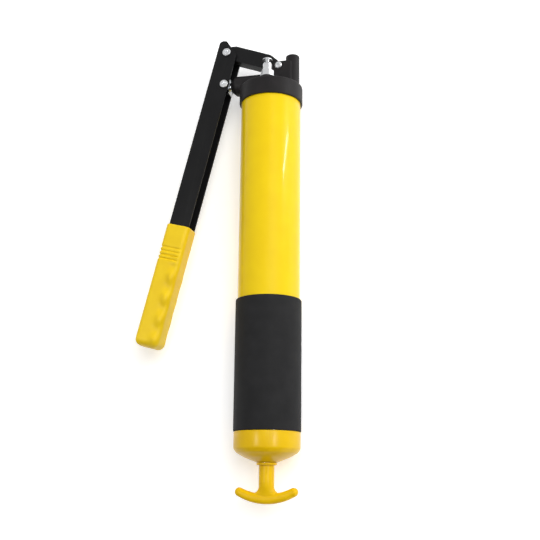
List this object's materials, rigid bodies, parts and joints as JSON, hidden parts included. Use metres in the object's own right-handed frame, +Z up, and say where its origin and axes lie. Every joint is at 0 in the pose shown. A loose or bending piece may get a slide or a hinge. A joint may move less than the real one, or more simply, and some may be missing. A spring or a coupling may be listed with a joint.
{
  "type": "lever grease gun",
  "caption": "Lever grease gun with a barrel, rubber sleeve, end cap with T handle on a follower rod, cast head with outlet, link and channel lever with a grip.",
  "frame": {"origin": "on the barrel's axis, at the middle of the rubber sleeve that a hand or a storage clip holds", "axes": "+Y along the barrel towards the head, +X from the lever's side towards the outlet, +Z up as the gun lies on its side"},
  "size_m": [0.1547, 0.4399, 0.0604],
  "materials": {
    "black_casting": "satin black paint on a casting",
    "barrel_paint": "glossy yellow powder coat",
    "cap_paint": "glossy deep yellow powder coat",
    "sleeve_rubber": "satin black rubber",
    "grip_vinyl": "soft yellow vinyl",
    "tee_plastic": "moulded yellow plastic",
    "black_steel": "satin black coated steel",
    "zinc_steel": "bright zinc plate",
    "plain_steel": "turned steel",
    "polished_steel": "ground and polished steel",
    "spring_steel": "drawn spring wire",
    "bronze": "sintered bronze",
    "seal_rubber": "matte nitrile rubber",
    "packing": "pressed packing rings"
  },
  "bodies": {
    "head": {"head_casting": "black_casting", "barrel_tube": "barrel_paint", "barrel_gasket": "seal_rubber", "barrel_sleeve": "sleeve_rubber", "end_cap": "cap_paint", "spring_seat": "plain_steel", "rod_guide": "bronze", "gland_nut": "black_steel", "plunger_packing": "packing", "valve_retainer": "plain_steel", "check_spring": "spring_steel", "bleeder_washer": "zinc_steel", "bleeder_body": "zinc_steel", "bleeder_spring": "spring_steel", "link_screw": "zinc_steel", "link_nut": "zinc_steel", "main_spring": "spring_steel"},
    "link": {"link_arm": "black_steel", "link_bushes": "bronze"},
    "lever": {"lever_channel": "black_steel", "lever_grip": "grip_vinyl", "lever_screws": "zinc_steel", "lever_nuts": "zinc_steel", "link_spacers": "plain_steel", "plunger_spacers": "plain_steel"},
    "plunger": {"plunger_rod": "polished_steel"},
    "follower": {"follower_cup": "seal_rubber", "follower_back_plate": "plain_steel", "follower_front_plate": "plain_steel"},
    "rod": {"follower_rod": "polished_steel", "tee_handle": "tee_plastic", "follower_nut": "zinc_steel", "rod_clip": "spring_steel"},
    "button": {"bleeder_button": "zinc_steel"},
    "ball": {"check_ball": "polished_steel"}
  },
  "joints": [
    {"name": "link_swing", "type": "hinge", "parent": "head", "child": "link", "pos_m": [0.0092, 0.2871, 0], "axis": [0, 0, 1], "range_deg": [-0.45, 8.55]},
    {"name": "lever_swing", "type": "hinge", "parent": "link", "child": "lever", "pos_m": [-0.043, 0.3066, 0], "axis": [0, 0, 1], "range_deg": [-46.5, 2.4]},
    {"name": "plunger_stroke", "type": "slide", "parent": "head", "child": "plunger", "axis": [1, 0, 0], "range_m": [-0.0226, 0.0012]},
    {"name": "rod_pull", "type": "slide", "parent": "head", "child": "follower", "axis": [0, -1, 0], "range_m": [0, 0.245], "deforming": ["main_spring"]},
    {"name": "handle_turn", "type": "hinge", "parent": "follower", "child": "rod", "pos_m": [0, -0.1, 0], "axis": [0, 1, 0], "continuous": true},
    {"name": "bleeder_push", "type": "slide", "parent": "head", "child": "button", "axis": [0, -1, 0], "range_m": [0, 0.002], "stiffness_N_per_m": 200, "springref_m": -0.002, "deforming": ["bleeder_spring"]},
    {"name": "check_lift", "type": "slide", "parent": "head", "child": "ball", "axis": [0, 1, 0], "range_m": [0, 0.0015], "stiffness_N_per_m": 150, "springref_m": -0.002, "deforming": ["check_spring"]}
  ],
  "couplings": [
    {"joint": "link_swing", "follows": "lever_swing", "ratio": -0.18367},
    {"joint": "plunger_stroke", "follows": "lever_swing", "m_per_rad": 0.027736}
  ]
}
